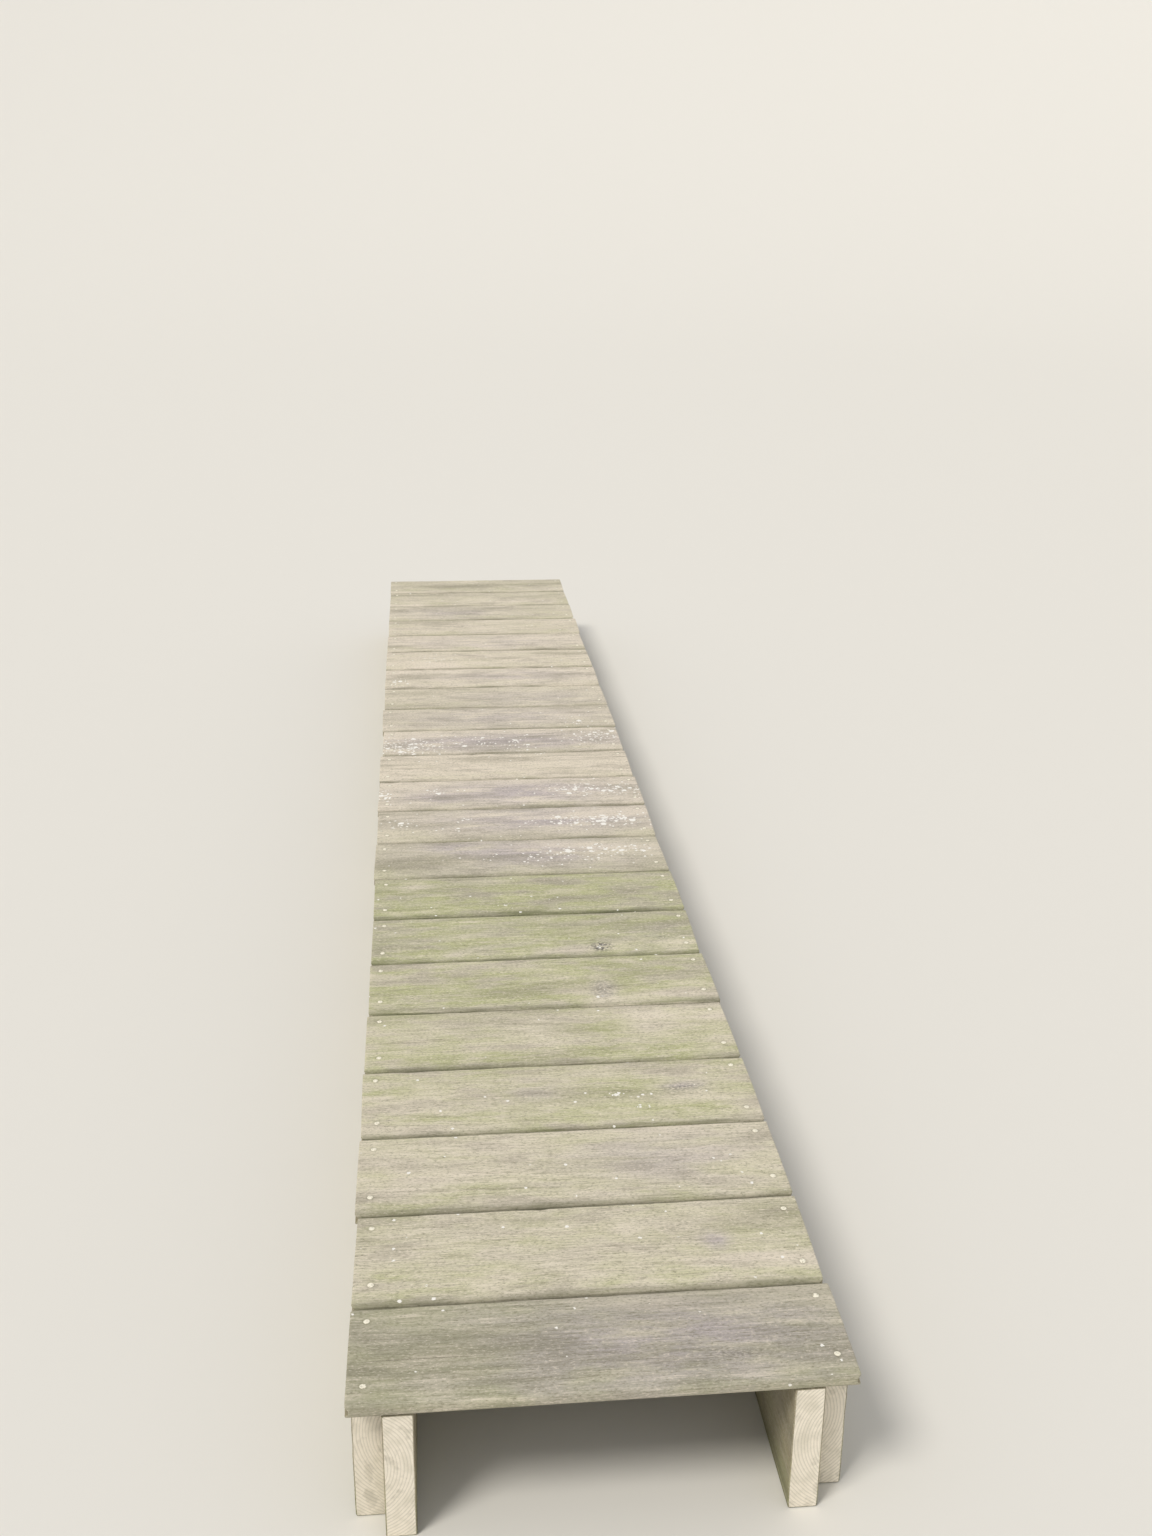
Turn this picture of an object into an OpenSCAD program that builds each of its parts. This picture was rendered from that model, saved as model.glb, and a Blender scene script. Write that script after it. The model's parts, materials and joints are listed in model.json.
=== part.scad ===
// Low plank footbridge: short radius-edge deck boards laid side by side across
// two built-up stringers. Each stringer is a pair of timbers on edge.
// Millimetres. +Y runs along the bridge, +X to the right of someone who walks
// towards +Y, +Z up. The origin is under the middle of the bridge, level with
// the underside of the stringers.

/* [Deck] */
// Number of deck boards
board_count = 22; // [6:1:40]
// Width of a deck board, measured along the bridge
board_w = 184; // [90:1:240]
// Width of the first board at the near end, ripped narrower to end the deck
first_board_w = 172; // [90:1:240]
// Thickness of a deck board at the middle of its width
board_t = 19; // [16:0.5:50]
// Radius of the rounded long edges of a board
board_edge_r = 6; // [3:0.5:7.5]
// Mean gap between neighbouring boards
board_gap = 3; // [1.5:0.1:10]
// Most that a board lies off its even place, as a share of half a gap
gap_play = 0.7; // [0:0.05:0.9]
// Least height of the crown across a board's top
crown_min = 1.2; // [1.2:0.1:1.6]
// Greatest height of the crown across a board's top
crown_max = 2.4; // [1.7:0.1:3]

/* [Board ends] */
// Most that a sawn board end stands past the face of the stringer
end_play = 6; // [1:0.5:30]
// Most that a board end runs out of square, as a share of the end play
end_skew = 0.6; // [0:0.05:0.9]
// Seed of the irregular ends, gaps and crowns
lay_seed = 23; // [1:1:99]

/* [Stringers] */
// Width over the outer faces of the stringers
frame_w = 606; // [400:1:1500]
// Height of a stringer timber
stringer_h = 184; // [89:1:286]
// Thickness of one stringer timber
stringer_t = 38; // [30:1:75]
// Radius of the eased long edges of a stringer timber
stringer_edge_r = 3; // [1:0.5:6]
// Distance that the outer timbers stop short of the deck's ends
outer_setback = 37; // [0:1:120]
// Distance that the inner timbers stop short of the deck's ends
inner_setback = 2; // [0:0.5:120]

/* [Hidden] */
board_pitch = board_w + board_gap;
deck_len = first_board_w + (board_count - 1) * board_pitch;
// Facets of a rounded edge, and of the wide arc of a crown
EDGE_FN = 48;
CROWN_FN = 1440;
// Length by which a cutting shape runs past what it cuts
OVERRUN = 2;

function board_name(i) = str("deck_board_", i < 9 ? "0" : "", i + 1);

// Values spread from 0 to 1, so that the lowest is 0 and the highest is 1
function spread(v) = [for (x = v) (x - min(v)) / (max(v) - min(v))];

// Overhangs of the two corners of each board end on one side. Even places hold
// the near corners and odd places the far ones. The shortest overhang is 0 and
// the longest is end_play, so the deck is as wide to the left as to the right.
function corner_overhangs(seed) =
    let (middle = rands(0, 1, board_count, seed))
    let (skew = rands(-end_skew, end_skew, board_count, seed + 1))
    end_play * spread([for (i = [0:board_count - 1], s = [-1, 1]) middle[i] + s * skew[i] / 2]);

left_overhang = corner_overhangs(lay_seed);
right_overhang = corner_overhangs(lay_seed + 100);
shift_max = gap_play * board_gap / 2;
shift = rands(-shift_max, shift_max, board_count, lay_seed + 200);
crown = rands(crown_min, crown_max, board_count, lay_seed + 300);

function width_of(i) = i == 0 ? first_board_w : board_w;

// Near edge of a board. The end boards stay put, so the deck keeps its length.
function board_y(i) =
    i == 0 ? -deck_len / 2
    : deck_len / 2 - board_w - (board_count - 1 - i) * board_pitch + (i == board_count - 1 ? 0 : shift[i]);

// Rectangle from the origin with rounded corners
module eased_section(width, depth, ease) {
    translate([ease, 0])
        square([width - 2 * ease, depth]);
    translate([0, ease])
        square([width, depth - 2 * ease]);
    for (u = [ease, width - ease], v = [ease, depth - ease])
        translate([u, v])
            circle(r = ease, $fn = EDGE_FN);
}

// Section of a deck board: flat underneath, rounded edges, top crowned by an arc
module board_section(width, rise) {
    arc_r = (width * width / 4 + rise * rise) / (2 * rise);
    intersection() {
        eased_section(width, board_t, board_edge_r);
        translate([width / 2, board_t - arc_r])
            circle(r = arc_r, $fn = CROWN_FN);
    }
}

// Outline of a board from above, with each end sawn slightly out of square
module board_outline(i) {
    half = frame_w / 2;
    run = OVERRUN / width_of(i);
    near_left = -half - left_overhang[2 * i];
    far_left = -half - left_overhang[2 * i + 1];
    near_right = half + right_overhang[2 * i];
    far_right = half + right_overhang[2 * i + 1];
    polygon([
        [near_left - run * (far_left - near_left), -OVERRUN],
        [near_right - run * (far_right - near_right), -OVERRUN],
        [far_right + run * (far_right - near_right), width_of(i) + OVERRUN],
        [far_left + run * (far_left - near_left), width_of(i) + OVERRUN]
    ]);
}

module deck_board(i) {
    color([0.56, 0.55, 0.46])
        translate([0, board_y(i), stringer_h])
            intersection() {
                rotate([90, 0, 90])
                    linear_extrude(height = frame_w + 2 * (end_play + OVERRUN), center = true)
                        board_section(width_of(i), crown[i]);
                translate([0, 0, -OVERRUN])
                    linear_extrude(height = board_t + 2 * OVERRUN)
                        board_outline(i);
            }
}

// One stringer timber on edge, its outer face at x on the side that side names
module stringer(side, x, setback) {
    color([0.47, 0.42, 0.32])
        mirror([side < 0 ? 1 : 0, 0, 0])
            translate([x - stringer_t, deck_len / 2 - setback, 0])
                rotate([90, 0, 0])
                    linear_extrude(height = deck_len - 2 * setback)
                        eased_section(stringer_t, stringer_h, stringer_edge_r);
}

module outer_stringer(side) {
    stringer(side, frame_w / 2, outer_setback);
}

module inner_stringer(side) {
    stringer(side, frame_w / 2 - stringer_t, inner_setback);
}

outer_stringer(-1);  // left_outer_stringer
inner_stringer(-1);  // left_inner_stringer
inner_stringer(1);  // right_inner_stringer
outer_stringer(1);  // right_outer_stringer
for (i = [0:board_count - 1])
    deck_board(i);
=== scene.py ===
import json

import bmesh
import bpy
import numpy as np
from bpy.props import FloatProperty, FloatVectorProperty, PointerProperty
from mathutils import Matrix, Vector

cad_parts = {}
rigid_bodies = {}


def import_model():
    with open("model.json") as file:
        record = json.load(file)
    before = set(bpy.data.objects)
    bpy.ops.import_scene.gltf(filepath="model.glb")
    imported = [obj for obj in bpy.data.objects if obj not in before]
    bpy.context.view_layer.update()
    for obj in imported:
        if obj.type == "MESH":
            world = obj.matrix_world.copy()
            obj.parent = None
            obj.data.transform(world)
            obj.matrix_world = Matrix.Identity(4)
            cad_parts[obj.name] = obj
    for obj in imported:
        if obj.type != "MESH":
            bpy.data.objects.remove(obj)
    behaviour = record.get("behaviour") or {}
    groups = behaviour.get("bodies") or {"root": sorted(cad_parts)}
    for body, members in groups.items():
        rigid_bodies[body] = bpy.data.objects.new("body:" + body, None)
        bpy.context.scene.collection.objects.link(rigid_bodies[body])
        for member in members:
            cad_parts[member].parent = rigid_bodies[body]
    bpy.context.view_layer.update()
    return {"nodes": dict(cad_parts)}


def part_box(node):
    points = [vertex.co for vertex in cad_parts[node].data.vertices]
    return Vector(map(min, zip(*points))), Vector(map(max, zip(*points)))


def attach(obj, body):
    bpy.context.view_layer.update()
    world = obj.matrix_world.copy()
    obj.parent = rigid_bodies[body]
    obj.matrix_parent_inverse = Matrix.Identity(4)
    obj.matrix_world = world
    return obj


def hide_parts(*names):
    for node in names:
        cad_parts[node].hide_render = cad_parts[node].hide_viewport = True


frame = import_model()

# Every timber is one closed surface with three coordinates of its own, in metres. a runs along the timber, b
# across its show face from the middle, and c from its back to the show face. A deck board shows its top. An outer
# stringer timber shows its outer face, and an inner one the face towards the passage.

bl_info = {
    "name": "Weathered wooden footbridge",
    "version": (1, 0, 0),
    "blender": (4, 5, 0),
    "location": "3D View > Sidebar > Footbridge",
    "description": "Dresses a plank footbridge as worn, algae-stained timber with nails, on a pale stage",
    "category": "Add Mesh",
}

MM = 0.001
BOARDS = sorted(name for name in frame["nodes"] if name.startswith("deck_board_"))

# Seeds of the random draws. A piece adds its own number.
SEEDS = {"board": 4100, "stringer": 5200, "nail_place": 7700, "nail_lean": 8800, "torn_end": 900, "patches": 300,
         "board_damp": 500, "stringer_damp": 600, "drips": 650}
# Spacing of a timber's points: of the lines along its show face, from a drying crack to the lines beside it, round
# its back and sides, and of the stations along it.
BOARD_MESH = {"lines": 1.9 * MM, "beside": 0.5 * MM, "back": 16 * MM, "stations": 12 * MM}
STRINGER_MESH = {"lines": 3.4 * MM, "beside": 0.7 * MM, "back": 26 * MM, "stations": 24 * MM}
# Most that the fibres and the growth rings wander from straight.
FIBRE_WANDER, RING_WANDER = 1.3 * MM, 0.8 * MM
# A knot's length over its width, the rings in its radius, and the depth of the groove round it.
KNOT_LENGTH, KNOT_RINGS, KNOT_GROOVE = 1.45, 2.6, 0.7 * MM
# Distances from knots and nails are counted in their radii, up to this.
FAR = 3.0
# How much further in than its arris a sawn end's flat face starts.
CAP_STEP = 0.7 * MM
# Spacing of a wave texture's rings at scale 1.
WAVE_SPACING = 0.314
# Sides of a nail, how far its head stands up, and how far in millimetres it strays across and along a board.
NAIL_SIDES, HEAD_PROUD, STRAY_ACROSS, STRAY_ALONG = 14, 0.4 * MM, 2.2, 1.5
# The floor's reach each way and its points in a row, and where it starts to rise as a backdrop and how fast.
FLOOR_REACH, FLOOR_POINTS, BACKDROP_START, BACKDROP_RISE = 60, 81, 14, 0.012
# Direction of the key light, and the angle that it fills, in degrees.
KEY_AIM, KEY_ANGLE = (0.55, 0.45, -1.0), 18
# The photograph was taken from 1.32 m above the deck. The angles are degrees to the right, down and of roll.
CAMERA_PLACE, CAMERA_ANGLES = (-0.1913, -3.4896, 1.5197), (5.83, 20.30, 0.56)

# How much algae each deck board carries, and how pale its wood is, from the near end, as judged.
BOARD_ALGAE = (0.36, 0.50, 0.46, 0.78, 0.84, 1.20, 0.98, 1.10, 0.22, 0.16, 0.10,
               0.10, 0.10, 0.14, 0.16, 0.12, 0.24, 0.20, 0.24, 0.28, 0.32, 0.34)
BOARD_PALE = (0.00, 0.58, 0.62, 0.65, 0.62, 0.45, 0.25, 0.22, 0.42, 0.60, 0.85,
              1.05, 0.75, 0.60, 0.60, 1.05, 1.20, 1.05, 0.75, 0.60, 0.60, 0.50)
# Lilac-grey patches: board, place along it from its left end, place across it from its near edge, reach along and
# across, all in millimetres, and strength.
LILAC_PATCHES = (
    (1, 400, 80, 240, 90, 1.0), (2, 485, 91, 19, 20, 1.0), (3, 440, 100, 120, 60, 0.6), (4, 505, 100, 38, 17, 0.8),
    (4, 270, 97, 50, 22, 0.5), (6, 413, 52, 24, 36, 1.5), (7, 540, 60, 120, 50, 0.35), (9, 340, 110, 210, 75, 1.0),
    (9, 160, 150, 60, 30, 0.5), (10, 380, 110, 260, 75, 1.0), (11, 340, 95, 240, 75, 1.0),
    (11, 120, 60, 80, 30, 0.5), (13, 300, 80, 330, 70, 1.0), (14, 330, 90, 300, 80, 0.6),
    (15, 420, 70, 200, 60, 0.5), (16, 380, 100, 220, 60, 0.6), (18, 300, 90, 260, 70, 0.5),
    (20, 200, 90, 160, 60, 0.6),
)
# Fields of chalky spots, in the same form. The strength is the share of places that hold a spot.
SPOT_FIELDS = (
    (4, 397, 83, 10, 6, 0.95), (4, 428, 80, 13, 5, 1.0), (4, 434, 46, 9, 6, 0.85), (6, 414, 36, 20, 16, 0.3),
    (7, 428, 34, 14, 11, 0.3), (7, 60, 150, 50, 20, 0.15), (8, 260, 36, 8, 8, 0.9), (2, 487, 88, 16, 12, 0.35),
    (9, 500, 110, 88, 34, 0.72), (9, 380, 95, 60, 40, 0.35), (9, 210, 90, 40, 25, 0.25), (10, 466, 94, 46, 30, 0.95),
    (10, 550, 94, 46, 30, 1.0), (10, 400, 95, 60, 30, 0.5), (10, 200, 118, 16, 14, 0.9),
    (10, 55, 105, 30, 20, 0.9), (10, 160, 60, 40, 12, 0.3), (11, 545, 100, 80, 30, 0.9),
    (11, 440, 100, 60, 30, 0.62), (11, 140, 105, 26, 26, 0.6), (11, 12, 92, 16, 34, 1.4),
    (11, 210, 110, 14, 10, 0.9), (12, 400, 176, 16, 8, 0.8), (13, 60, 60, 70, 50, 1.2),
    (13, 560, 110, 70, 50, 0.8), (13, 300, 70, 120, 50, 0.4), (14, 520, 60, 60, 40, 0.25), (16, 30, 60, 30, 30, 0.5),
    (17, 150, 100, 80, 40, 0.2),
)
# Dark speckled blotches, in the same form.
DARK_BLOTCHES = ((7, 426, 34, 15, 13, 2.6), (7, 545, 62, 12, 6, 0.6), (6, 413, 58, 20, 26, 0.45),
                 (4, 500, 98, 26, 9, 0.6), (1, 470, 48, 40, 9, 0.3), (14, 430, 90, 20, 9, 0.4))


def linear(hex_colour):
    """Linear RGBA of an sRGB hex colour such as "#B7B29D"."""
    srgb = np.array([int(hex_colour[i:i + 2], 16) for i in (1, 3, 5)]) / 255
    rgb = np.where(srgb <= 0.04045, srgb / 12.92, ((srgb + 0.055) / 1.055) ** 2.4)
    return (*(float(x) for x in rgb), 1.0)


class FootbridgeTimber(bpy.types.PropertyGroup):
    """Shape of the worn timber."""
    board_edge: FloatProperty(name="Board edge radius", description="Radius of a deck board's rounded long edges",
                              default=6 * MM, min=1 * MM, max=9 * MM, unit="LENGTH")
    stringer_edge: FloatProperty(name="Stringer edge radius", description="Radius of a stringer's eased long edges",
                                 default=3 * MM, min=1 * MM, max=9 * MM, unit="LENGTH")
    ring_spacing: FloatProperty(name="Ring spacing", description="Distance between growth rings across the log",
                                default=4.5 * MM, min=2 * MM, max=12 * MM, unit="LENGTH")
    grain_depth: FloatProperty(name="Grain depth", description="How far early wood has worn back between hard rings",
                               default=0.25 * MM, min=0, max=1.5 * MM, unit="LENGTH")
    edge_wear: FloatProperty(name="Edge wear", description="Most that a long edge has worn back past its radius",
                             default=0.7 * MM, min=0, max=4 * MM, unit="LENGTH")
    end_round: FloatProperty(name="End rounding", description="Radius of the worn arris round a sawn end",
                             default=1.5 * MM, min=0.2 * MM, max=3 * MM, unit="LENGTH")
    plan_round: FloatProperty(name="Corner rounding", description="Radius of a board's corners, seen from above",
                              default=4 * MM, min=0.1 * MM, max=10 * MM, unit="LENGTH")
    check_depth: FloatProperty(name="Check depth", description="Depth of the deepest drying cracks",
                               default=1.8 * MM, min=0, max=4 * MM, unit="LENGTH")
    hollow: FloatProperty(name="Hollows", description="Depth of the slow hollows that wear and weather have left",
                          default=0.5 * MM, min=0, max=2 * MM, unit="LENGTH")


class FootbridgeNails(bpy.types.PropertyGroup):
    """Nails that hold the deck boards down."""
    head: FloatProperty(name="Head diameter", description="Diameter of a nail head",
                        default=8.5 * MM, min=3 * MM, max=20 * MM, unit="LENGTH")
    rim: FloatProperty(name="Head thickness", description="Thickness of a nail head at its rim",
                       default=1.2 * MM, min=0.4 * MM, max=3 * MM, unit="LENGTH")
    shank: FloatProperty(name="Shank diameter", description="Diameter of a nail's shank",
                         default=4.1 * MM, min=1 * MM, max=8 * MM, unit="LENGTH")
    inset: FloatProperty(name="Inset", description="Distance from a board's end to its nails",
                         default=21 * MM, min=8 * MM, max=38 * MM, unit="LENGTH")
    near_row: FloatProperty(name="Near row", description="Place of the near nails, as a share of the board's width",
                            default=0.215, min=0.05, max=0.95, subtype="FACTOR")
    far_row: FloatProperty(name="Far row", description="Place of the far nails, as a share of the board's width",
                           default=0.842, min=0.05, max=0.95, subtype="FACTOR")
    bruise: FloatProperty(name="Bruise", description="Depth of the dent that the hammer left round a head",
                          default=0.45 * MM, min=0, max=2 * MM, unit="LENGTH")


class FootbridgeFinish(bpy.types.PropertyGroup):
    """Colours of the weathered timber and the nails."""
    silver: FloatVectorProperty(name="Silvered wood", description="Wood that sun and rain have turned grey",
                                default=linear("#C6C1AE"), size=4, min=0, max=1, subtype="COLOR")
    straw: FloatVectorProperty(name="Pale wood", description="Sun-bleached wood with some warmth left",
                               default=linear("#EFE4D5"), size=4, min=0, max=1, subtype="COLOR")
    late_wood: FloatVectorProperty(name="Late wood", description="Hard dark line of a growth ring, and dark fibres",
                                   default=linear("#87836F"), size=4, min=0, max=1, subtype="COLOR")
    algae: FloatVectorProperty(name="Algae", description="Thin green growth on damp boards",
                               default=linear("#B4BA82"), size=4, min=0, max=1, subtype="COLOR")
    lilac: FloatVectorProperty(name="Lilac grey", description="Violet-grey patches of bare weathered wood",
                               default=linear("#C4BAC0"), size=4, min=0, max=1, subtype="COLOR")
    # Dirt, and also painted shade: it darkens the deck boards along the joints, on their hidden sides and undersides,
    # and the top of each stringer under the deck.
    grime_and_shade: FloatVectorProperty(name="Grime", description="Dirt and damp growth along the joints",
                               default=linear("#5E6048"), size=4, min=0, max=1, subtype="COLOR")
    chalk: FloatVectorProperty(name="Chalky spots", description="White spots spattered over some boards",
                               default=linear("#FAF8F3"), size=4, min=0, max=1, subtype="COLOR")
    crack: FloatVectorProperty(name="Crack", description="Inside of a drying crack",
                               default=linear("#2B2820"), size=4, min=0, max=1, subtype="COLOR")
    knot: FloatVectorProperty(name="Knot", description="Dark heart of a knot",
                              default=linear("#6F675D"), size=4, min=0, max=1, subtype="COLOR")
    blotch: FloatVectorProperty(name="Blotch", description="Dark violet specks of mildew",
                                default=linear("#4B4852"), size=4, min=0, max=1, subtype="COLOR")
    sheltered: FloatVectorProperty(name="Sheltered wood", description="Stringer timber, in the lee of the deck",
                                   default=linear("#A89C82"), size=4, min=0, max=1, subtype="COLOR")
    board_end: FloatVectorProperty(name="Board end", description="Sawn end of a deck board",
                                   default=linear("#A8A087"), size=4, min=0, max=1, subtype="COLOR")
    # Near-white: partly the pale end grain, partly painted sunlight, giving the brightness of a sunlit end.
    sunlit_stringer_end: FloatVectorProperty(name="Stringer end", description="Sun-bleached sawn end of a stringer",
                                      default=linear("#FBF3E4"), size=4, min=0, max=1, subtype="COLOR")
    zinc: FloatVectorProperty(name="Zinc", description="Dull galvanised nail head",
                              default=linear("#D2CEC0"), size=4, min=0, max=1, subtype="COLOR")


class FootbridgeStage(bpy.types.PropertyGroup):
    """Floor, lights and camera."""
    floor: FloatVectorProperty(name="Floor", description="Colour of the pale floor",
                               default=linear("#E9E7E2"), size=4, min=0, max=1, subtype="COLOR")
    key: FloatProperty(name="Key light", description="Strength of the soft light from the near left",
                       default=1.70, min=0, max=10)
    fill: FloatProperty(name="Fill light", description="Strength of the even light from all round",
                        default=0.51, min=0, max=3)
    lens: FloatProperty(name="Lens", description="Focal length for a 36 mm long side",
                        default=36.26, min=10, max=200, unit="CAMERA")


def seeded_waves(a, b, seed, along, across, count=9):
    """Smooth seeded noise, mostly from -1 to 1: the sum of sine waves with seeded directions and phases, each about
    `along` long in a and `across` long in b."""
    rng = np.random.default_rng(seed)
    total = 0.0
    for turn, tilt, phase in zip(rng.normal(0, 1, count), rng.normal(0, 1, count), rng.uniform(0, 1, count)):
        total = total + np.sin(2 * np.pi * (turn * a / along + tilt * b / across + phase))
    return total / np.sqrt(count / 2) / 1.8


def hump(x, width):
    """Bell curve: 1 at x = 0, falling smoothly to nothing past twice the width."""
    return np.exp(-(x / width) ** 2)


def ramp(x, low, high):
    """0 below low, 1 above high, and a smooth S between."""
    t = np.clip((x - low) / (high - low), 0, 1)
    return t * t * (3 - 2 * t)


def face_lines(width, spacing, checks):
    """Places across the show face at which lines run along it: evenly spaced, with three at each drying crack."""
    lines, beside = np.arange(-width / 2, width / 2, spacing["lines"]), spacing["beside"]
    for _, _, across, _ in checks:
        lines = np.append(lines[np.abs(lines - across) > 2 * beside], [across - beside, across, across + beside])
    return lines


def eased_outline(width, height, radius, lines, back_step):
    """Closed outline of a timber's section, anticlockwise in (b, c): the back, a quarter circle at each corner, the
    sides, and the show face with a point at each of the lines. Returns the points and their outward normals."""
    half, arc = width / 2 - radius, np.linspace(0, np.pi / 2, 8)
    back = np.linspace(-half, half, max(3, int(round(2 * half / back_step))))[1:-1]
    side = np.linspace(radius, height - radius, max(3, int(round(height / back_step)) + 2))[1:-1]
    face = np.sort(lines[np.abs(lines) < half - 0.2 * MM])[::-1]
    parts = []
    for b, c, turn, straight in ((half, radius, 0, (back, 0, 0, -1)),
                                 (half, height - radius, 1, (width / 2, side, 1, 0)),
                                 (-half, height - radius, 2, (face, height, 0, 1)),
                                 (-half, radius, 3, (-width / 2, side[::-1], -1, 0))):
        parts.append(np.stack(np.broadcast_arrays(*straight)))
        nb, nc = np.sin(arc + turn * np.pi / 2), -np.cos(arc + turn * np.pi / 2)
        parts.append(np.stack([b + radius * nb, c + radius * nc, nb, nc]))
    return np.concatenate(parts, axis=1)


def stations(span, end_round, step, close_spots):
    """Shares along a timber, from 0 to 1, at which its section is drawn: close together in the worn arris of each
    end and at each close spot (place, reach, spacing), and about a step apart elsewhere."""
    tip = end_round * np.array([0, 0.1, 0.3, 0.6, 1.0, 2.0, 4.0])
    rows = [np.arange(step, span, step)] + [np.arange(at - reach, at + reach, gap) for at, reach, gap in close_spots]
    rows = np.sort(np.concatenate(rows))
    rows = rows[(rows > 5 * end_round) & (rows < span - 5 * end_round)]
    rows = rows[np.concatenate([[True], np.diff(rows) > 0.9 * MM])]
    return np.concatenate([tip, rows, (span - tip)[::-1]]) / span


def fibre_shift(a, b, look, calm):
    """How far the fibres run to the side: a slow wander, and round each knot 0.75 R tanh(2 (b - knot) / R), dying
    away along the grain. calm takes it all away near the edges."""
    shift = FIBRE_WANDER * seeded_waves(a, b, look["seed"], 0.5, 0.12) * calm
    for at, across, radius in look["knots"]:
        shift = shift + 0.75 * radius * np.tanh(2 * (b - across) / radius) * hump(a - at, 1.9 * radius) * calm
    return shift


def radii_away(a, b, face, spots, stretch):
    """Distance from the nearest of some spots (a, b, radius) on the show face, in that spot's radii. A spot is
    stretched along the grain."""
    away = np.full_like(a, FAR)
    for at, across, radius in spots:
        away = np.minimum(away, np.where(face > 0.5, np.hypot((a - at) / stretch, b - across) / radius, FAR))
    return away


def worn_timber(size, edge, look, crown=0.0, ends=None):
    """Surface of one weathered timber, as arrays over stations and outline points.

    A section is drawn at each station. Its face lines first move to the side, so that they run as the fibres do.
    The crown then lowers the section by the square of b. Each point at last goes inwards along its normal by the
    sum of the worn early wood (a wave of the distance from the pith), edge wear and chips (bell curves about the
    top corners), slow hollows, drying cracks (a single face line), the groove round a knot, the bruise at a nail
    and the quarter circle of the end's arris.

    size is (length, width, height). ends gives, for each outline point, where the timber starts and stops as
    distances from the ends of its box. look holds the seed, the spacing, the place of the timber along its log,
    knots and nails (a, b, radius), checks (start, stop, b, depth), chips (a, side, reach, depth), the pith (b, c,
    and its drift in b and c along the log) and the close spots."""
    shape, bruise = bpy.context.scene.footbridge_timber, bpy.context.scene.footbridge_nails.bruise
    span, width, height = size
    lines = face_lines(width, look["spacing"], look["checks"])
    b0, c0, nb, nc = eased_outline(width, height, edge, lines, look["spacing"]["back"])[:, None, :]
    share = stations(span, shape.end_round, look["spacing"]["stations"], look["close"])[:, None]
    low, high = ends(b0, c0) if ends else (0.0, 0.0)
    a = low + share * (span + high - low) + 0 * b0
    face = ramp(nc, 0.3, 0.95)
    b = b0 + fibre_shift(a, b0, look, ramp(width / 2 - np.abs(b0), edge, edge + 28 * MM) * face)
    knot = radii_away(a, b, face, look["knots"], KNOT_LENGTH)
    nail = radii_away(a, b, face, look["nails"], 1)

    pith_b, pith_c, drift_b, drift_c = look["pith"]
    log = np.stack([a + look["along"], b0 - pith_b - drift_b * a, c0 - pith_c - drift_c * a], axis=-1)
    ring = np.hypot(log[..., 1], log[..., 2]) + RING_WANDER * seeded_waves(a, b0, look["seed"] + 1, 0.4, 0.06)
    ring = np.where(knot < 1.15, KNOT_RINGS * knot, ring / shape.ring_spacing)
    soft = 1 - (0.5 - 0.5 * np.cos(2 * np.pi * ring)) ** 2
    corner = np.hypot(np.abs(b0) - width / 2, c0 - height)
    uneven = ramp(seeded_waves(a, b0, look["seed"] + 2, 0.09, 0.4), -0.6, 0.9)
    inward = shape.grain_depth * soft * face + shape.edge_wear * (0.15 + 0.85 * uneven) * hump(corner, 1.5 * edge)
    inward = inward + shape.hollow * np.clip(0.5 + 0.5 * seeded_waves(a, b0, look["seed"] + 3, 0.3, 0.1), 0, 1) * face
    inward = inward + KNOT_GROOVE * hump(knot - 1, 0.17) * face + bruise * hump(nail, 1.5) * face
    for at, side, reach, depth in look["chips"]:
        inward = inward + depth * hump(a - at, reach) * hump(corner, 1.3 * edge) * (np.sign(b0) == side)
    crack = np.zeros_like(a)
    for start, stop, across, depth in look["checks"]:
        opened = np.sin(np.pi * np.clip((a - start) / (stop - start), 0, 1)) ** 0.6
        opened = opened * (np.abs(b0 - across) < 0.05 * MM) * (face > 0.5)
        crack, inward = np.maximum(crack, opened), inward + depth * opened
    from_end = span * np.minimum(share, 1 - share)
    lost = np.clip(1 - from_end / shape.end_round, 0, 1)
    inward = inward + shape.end_round * (1 - np.sqrt(1 - lost ** 2))

    c = c0 * (1 - crown * (2 * b / width) ** 2 / height)
    deeper = inward + CAP_STEP
    return {"a": a, "b": b, "face": face, "log": log, "ring": ring, "marks": np.stack([crack, knot, nail], axis=-1),
            "place": np.stack([a, b - nb * inward, c - nc * inward], axis=-1),
            "cap": np.stack([a, b - nb * deeper, c - nc * deeper], axis=-1)}


def add_object(name, data):
    """Object of a mesh, light or camera, in the scene."""
    piece = bpy.data.objects.new(name, data)
    bpy.context.scene.collection.objects.link(piece)
    return piece


def coordinates(mesh):
    """Points of a mesh, as rows of x, y and z."""
    co = np.zeros(3 * len(mesh.vertices))
    mesh.vertices.foreach_get("co", co)
    return co.reshape(-1, 3)


def tube_faces(count, around):
    """Quads that join neighbouring rings of points, with so many rings and so many points around."""
    first = np.arange(count - 1)[:, None] * around
    here = np.arange(around)[None]
    after = (here + 1) % around
    quads = [first + here, first + after, first + around + after, first + around + here]
    return np.stack(quads, axis=-1).reshape(-1, 4)


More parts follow.
